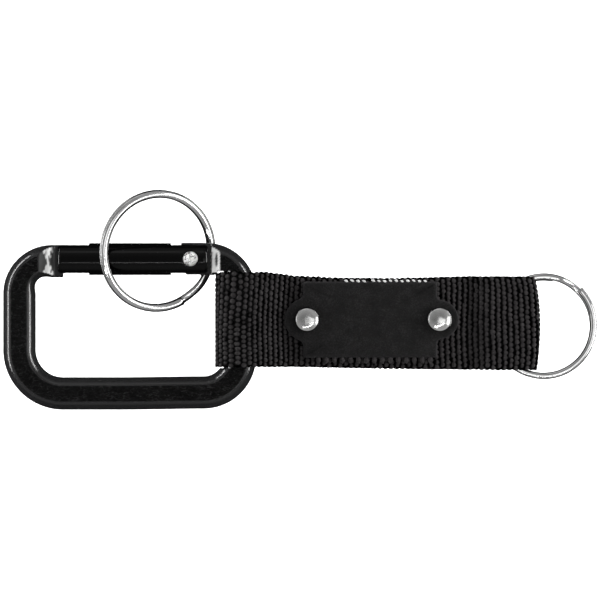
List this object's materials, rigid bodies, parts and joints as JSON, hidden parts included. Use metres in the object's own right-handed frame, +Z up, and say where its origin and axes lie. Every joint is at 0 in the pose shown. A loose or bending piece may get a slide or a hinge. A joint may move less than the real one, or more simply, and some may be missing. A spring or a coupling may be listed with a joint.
{
  "type": "carabiner keyring",
  "caption": "Snap-hook key fob: a flat-sided carabiner with a sprung gate and a split ring, and a webbing strap with a riveted leather patch that ends in a split ring.",
  "frame": {"origin": "middle of the bounding box in plan, at the surface the object lies on", "axes": "+X from the carabiner to the strap ring, +Y across towards the gate, +Z up from the table through the patch"},
  "size_m": [0.17, 0.0629, 0.016],
  "materials": {
    "body_black": "black coated, finely textured, bare at the milled shoulders",
    "gate_black": "gloss black anodised",
    "hinge_steel": "bare, peened heads",
    "spring_steel": "drawn wire",
    "plunger_steel": "turned",
    "ring_nickel": "nickel plated",
    "rivet_nickel": "nickel plated, slightly worn",
    "webbing": "black woven webbing",
    "leather": "black pebbled grain, matt"
  },
  "bodies": {
    "carabiner": {"carabiner_body": "body_black", "gate_hinge_rivet": "hinge_steel"},
    "gate": {"gate_tube": "gate_black", "gate_spring": "spring_steel"},
    "plunger": {"gate_plunger": "plunger_steel"},
    "key_ring": {"key_ring": "ring_nickel"},
    "strap": {"webbing_main": "webbing", "leather_patch": "leather", "left_rivet_cap": "rivet_nickel", "left_rivet_post": "rivet_nickel", "left_rivet_socket": "rivet_nickel", "left_rivet_base": "rivet_nickel", "right_rivet_cap": "rivet_nickel", "right_rivet_post": "rivet_nickel", "right_rivet_socket": "rivet_nickel", "right_rivet_base": "rivet_nickel"},
    "strap_end": {"webbing_tail": "webbing"},
    "strap_ring": {"strap_ring": "ring_nickel"}
  },
  "joints": [
    {"name": "gate_swing", "type": "hinge", "parent": "carabiner", "child": "gate", "pos_m": [-0.0314, 0.01165, 0.008], "axis": [0, 0, 1], "range_deg": [0, 30], "stiffness_Nm_per_rad": 0.1, "springref_deg": -57.3},
    {"name": "plunger_slide", "type": "slide", "parent": "gate", "child": "plunger", "axis": [1, 0, 0], "range_m": [-0.000315, 0], "deforming": ["gate_spring"]},
    {"name": "key_ring_swing", "type": "hinge", "parent": "gate", "child": "key_ring", "pos_m": [-0.0409, 0.01165, 0.008], "axis": [1, 0, 0], "range_deg": [-10, 75]},
    {"name": "strap_swing", "type": "hinge", "parent": "carabiner", "child": "strap", "pos_m": [-0.01735, -0.0064, 0.008], "axis": [0, 1, 0], "range_deg": [-115, 90]},
    {"name": "strap_bend", "type": "hinge", "parent": "strap", "child": "strap_end", "pos_m": [0.04803, -0.0064, 0.0041], "axis": [0, 1, 0], "range_deg": [-75, 75]},
    {"name": "strap_ring_turn", "type": "hinge", "parent": "strap_end", "child": "strap_ring", "pos_m": [0.06974, -0.00756, 0.0028], "axis": [0.0596, 0, 0.9982], "continuous": true}
  ],
  "couplings": [
    {"joint": "plunger_slide", "follows": "gate_swing", "m_per_rad": -0.0006}
  ]
}
